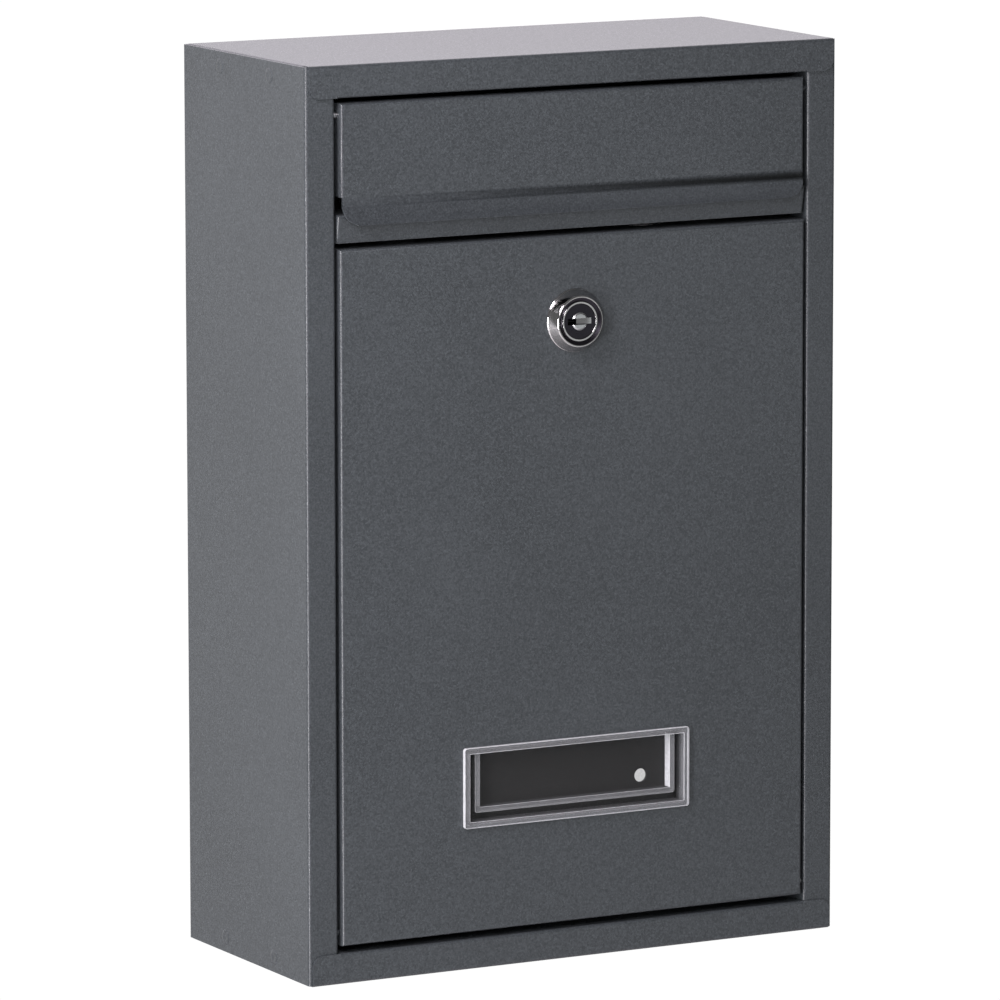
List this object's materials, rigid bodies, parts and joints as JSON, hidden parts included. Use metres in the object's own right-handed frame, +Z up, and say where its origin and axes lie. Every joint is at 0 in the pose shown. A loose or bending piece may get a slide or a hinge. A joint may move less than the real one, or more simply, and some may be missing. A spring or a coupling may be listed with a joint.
{
  "type": "wall mounted mailbox",
  "caption": "Wall mounted mailbox of folded sheet steel with a top-hinged letter flap, a bottom-hinged locking door, a cam lock and a clear name holder.",
  "frame": {"origin": "centre of the four wall screw holes on the outer back face", "axes": "+X to the right seen from the front, +Y into the wall, +Z up; the door faces -Y"},
  "size_m": [0.21, 0.0992, 0.32],
  "materials": {
    "powder_coat": "fine textured anthracite powder coat",
    "zinc_steel": "zinc plated, satin",
    "lock_chrome": "dark polished chrome",
    "clear_plastic": "clear moulded plastic, glossy"
  },
  "bodies": {
    "case": {"case_wrap": "powder_coat", "top_panel": "powder_coat", "bottom_panel": "powder_coat", "cross_bar": "powder_coat", "bar_spacers": "zinc_steel", "bar_rivets": "zinc_steel", "flap_pin_left": "zinc_steel", "flap_pin_right": "zinc_steel", "door_pin_left": "zinc_steel", "door_pin_right": "zinc_steel"},
    "flap": {"flap": "powder_coat"},
    "door": {"door_panel": "powder_coat", "name_frame": "clear_plastic", "name_pocket": "clear_plastic", "lock_body": "lock_chrome", "lock_washer": "zinc_steel", "lock_nut": "zinc_steel"},
    "lock_cylinder": {"lock_plug": "lock_chrome", "key_shutter": "zinc_steel", "lock_cam": "zinc_steel", "cam_washer": "zinc_steel", "cam_screw": "zinc_steel"}
  },
  "joints": [
    {"name": "flap_hinge", "type": "hinge", "parent": "case", "child": "flap", "pos_m": [0, -0.0912, 0.1426], "axis": [-1, 0, 0], "range_deg": [0, 115]},
    {"name": "door_hinge", "type": "hinge", "parent": "case", "child": "door", "pos_m": [0, -0.0912, -0.1422], "axis": [1, 0, 0], "range_deg": [0, 120]},
    {"name": "lock_turn", "type": "hinge", "parent": "door", "child": "lock_cylinder", "pos_m": [-0.0005, -0.095, 0.0665], "axis": [0, 1, 0], "range_deg": [0, 90]}
  ]
}
